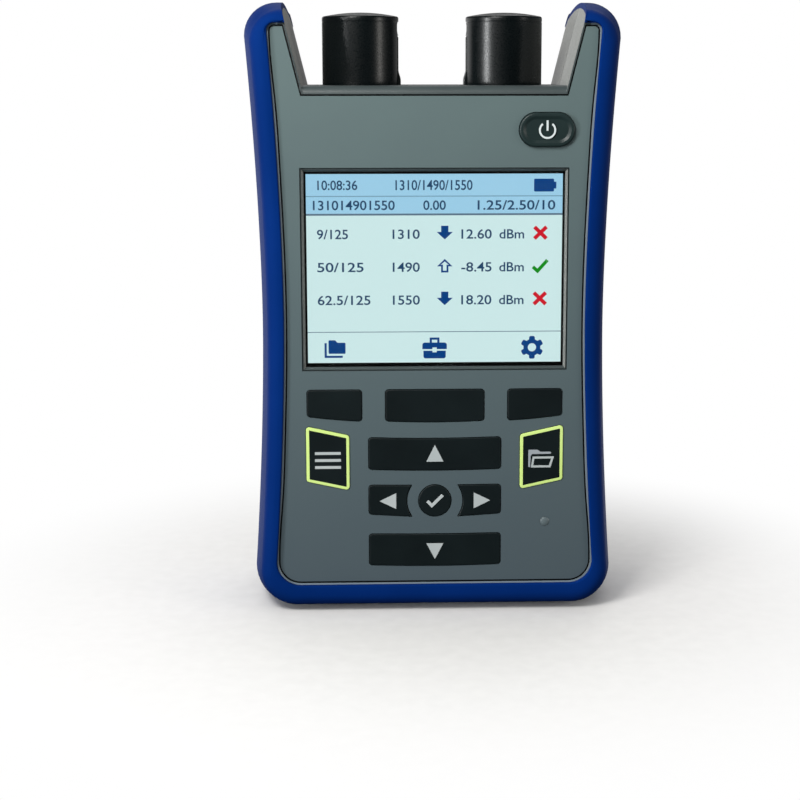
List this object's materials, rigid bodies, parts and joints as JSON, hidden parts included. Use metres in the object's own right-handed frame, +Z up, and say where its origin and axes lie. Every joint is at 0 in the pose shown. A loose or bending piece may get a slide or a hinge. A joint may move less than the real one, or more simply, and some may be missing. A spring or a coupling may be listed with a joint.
{
  "type": "optical power meter",
  "caption": "Hand-held optical power meter: waisted rubber boot, colour screen, keypad and two capped fibre ports set between raised ears.",
  "frame": {"origin": "middle of the foot that the meter stands on", "axes": "+Z up along the body, +X to the right seen from the front, front faces -Y"},
  "size_m": [0.1046, 0.0464, 0.1698],
  "materials": {
    "boot_rubber": "satin blue rubber",
    "housing": "fine-grained grey",
    "overlay": "matte dark grey",
    "window": "clear",
    "foam": "matte",
    "lcd": "lit screen",
    "silicone": "matte",
    "circuit_board": "solder mask",
    "circuit_part": "moulded",
    "battery": "shrink wrap",
    "steel": "plated",
    "key_plastic": "satin dark",
    "key_rubber": "satin dark",
    "collar": "black anodised",
    "adapter": "green moulding",
    "ceramic": "zirconia",
    "module": "die cast",
    "cap_rubber": "semi-gloss black"
  },
  "bodies": {
    "meter": {"rubber_boot": "boot_rubber", "front_housing": "housing", "rear_housing": "housing", "keypad_overlay": "overlay", "display_window": "window", "display_gasket": "foam", "lcd_module": "lcd", "light_pipe": "overlay", "keypad_mat": "silicone", "key_board": "circuit_board", "power_switch": "circuit_part", "main_board": "circuit_board", "battery_pack": "battery", "usb_socket": "steel", "left_port_collar": "collar", "left_port_nut": "steel", "left_port_adapter": "adapter", "left_port_sleeve": "ceramic", "left_detector_module": "module", "right_port_collar": "collar", "right_port_nut": "steel", "right_port_adapter": "adapter", "right_port_sleeve": "ceramic", "right_detector_module": "module"},
    "soft_key_left": {"soft_key_left": "key_plastic"},
    "soft_key_middle": {"soft_key_middle": "key_plastic"},
    "soft_key_right": {"soft_key_right": "key_plastic"},
    "menu_key": {"menu_key": "key_plastic"},
    "folder_key": {"folder_key": "key_plastic"},
    "up_key": {"up_key": "key_plastic"},
    "down_key": {"down_key": "key_plastic"},
    "left_key": {"left_key": "key_plastic"},
    "right_key": {"right_key": "key_plastic"},
    "ok_key": {"ok_key": "key_plastic"},
    "power_key": {"power_key": "key_rubber"},
    "left_cap": {"left_port_cap": "cap_rubber", "left_cap_strap": "cap_rubber"},
    "right_cap": {"right_port_cap": "cap_rubber", "right_cap_strap": "cap_rubber"}
  },
  "joints": [
    {"name": "soft_key_left_press", "type": "slide", "parent": "meter", "child": "soft_key_left", "axis": [0, 1, 0], "range_m": [0, 0.0006], "stiffness_N_per_m": 300},
    {"name": "soft_key_middle_press", "type": "slide", "parent": "meter", "child": "soft_key_middle", "axis": [0, 1, 0], "range_m": [0, 0.0006], "stiffness_N_per_m": 300},
    {"name": "soft_key_right_press", "type": "slide", "parent": "meter", "child": "soft_key_right", "axis": [0, 1, 0], "range_m": [0, 0.0006], "stiffness_N_per_m": 300},
    {"name": "menu_key_press", "type": "slide", "parent": "meter", "child": "menu_key", "axis": [0, 1, 0], "range_m": [0, 0.0006], "stiffness_N_per_m": 300},
    {"name": "folder_key_press", "type": "slide", "parent": "meter", "child": "folder_key", "axis": [0, 1, 0], "range_m": [0, 0.0006], "stiffness_N_per_m": 300},
    {"name": "up_key_press", "type": "slide", "parent": "meter", "child": "up_key", "axis": [0, 1, 0], "range_m": [0, 0.0006], "stiffness_N_per_m": 300},
    {"name": "down_key_press", "type": "slide", "parent": "meter", "child": "down_key", "axis": [0, 1, 0], "range_m": [0, 0.0006], "stiffness_N_per_m": 300},
    {"name": "left_key_press", "type": "slide", "parent": "meter", "child": "left_key", "axis": [0, 1, 0], "range_m": [0, 0.0006], "stiffness_N_per_m": 300},
    {"name": "right_key_press", "type": "slide", "parent": "meter", "child": "right_key", "axis": [0, 1, 0], "range_m": [0, 0.0006], "stiffness_N_per_m": 300},
    {"name": "ok_key_press", "type": "slide", "parent": "meter", "child": "ok_key", "axis": [0, 1, 0], "range_m": [0, 0.0006], "stiffness_N_per_m": 300},
    {"name": "power_key_press", "type": "slide", "parent": "meter", "child": "power_key", "axis": [0, 1, 0], "range_m": [0, 0.0006], "stiffness_N_per_m": 300},
    {"name": "left_cap_pull", "type": "slide", "parent": "meter", "child": "left_cap", "axis": [0, 0, 1], "range_m": [0, 0.024], "deforming": ["left_cap_strap"]},
    {"name": "right_cap_pull", "type": "slide", "parent": "meter", "child": "right_cap", "axis": [0, 0, 1], "range_m": [0, 0.024], "deforming": ["right_cap_strap"]}
  ]
}
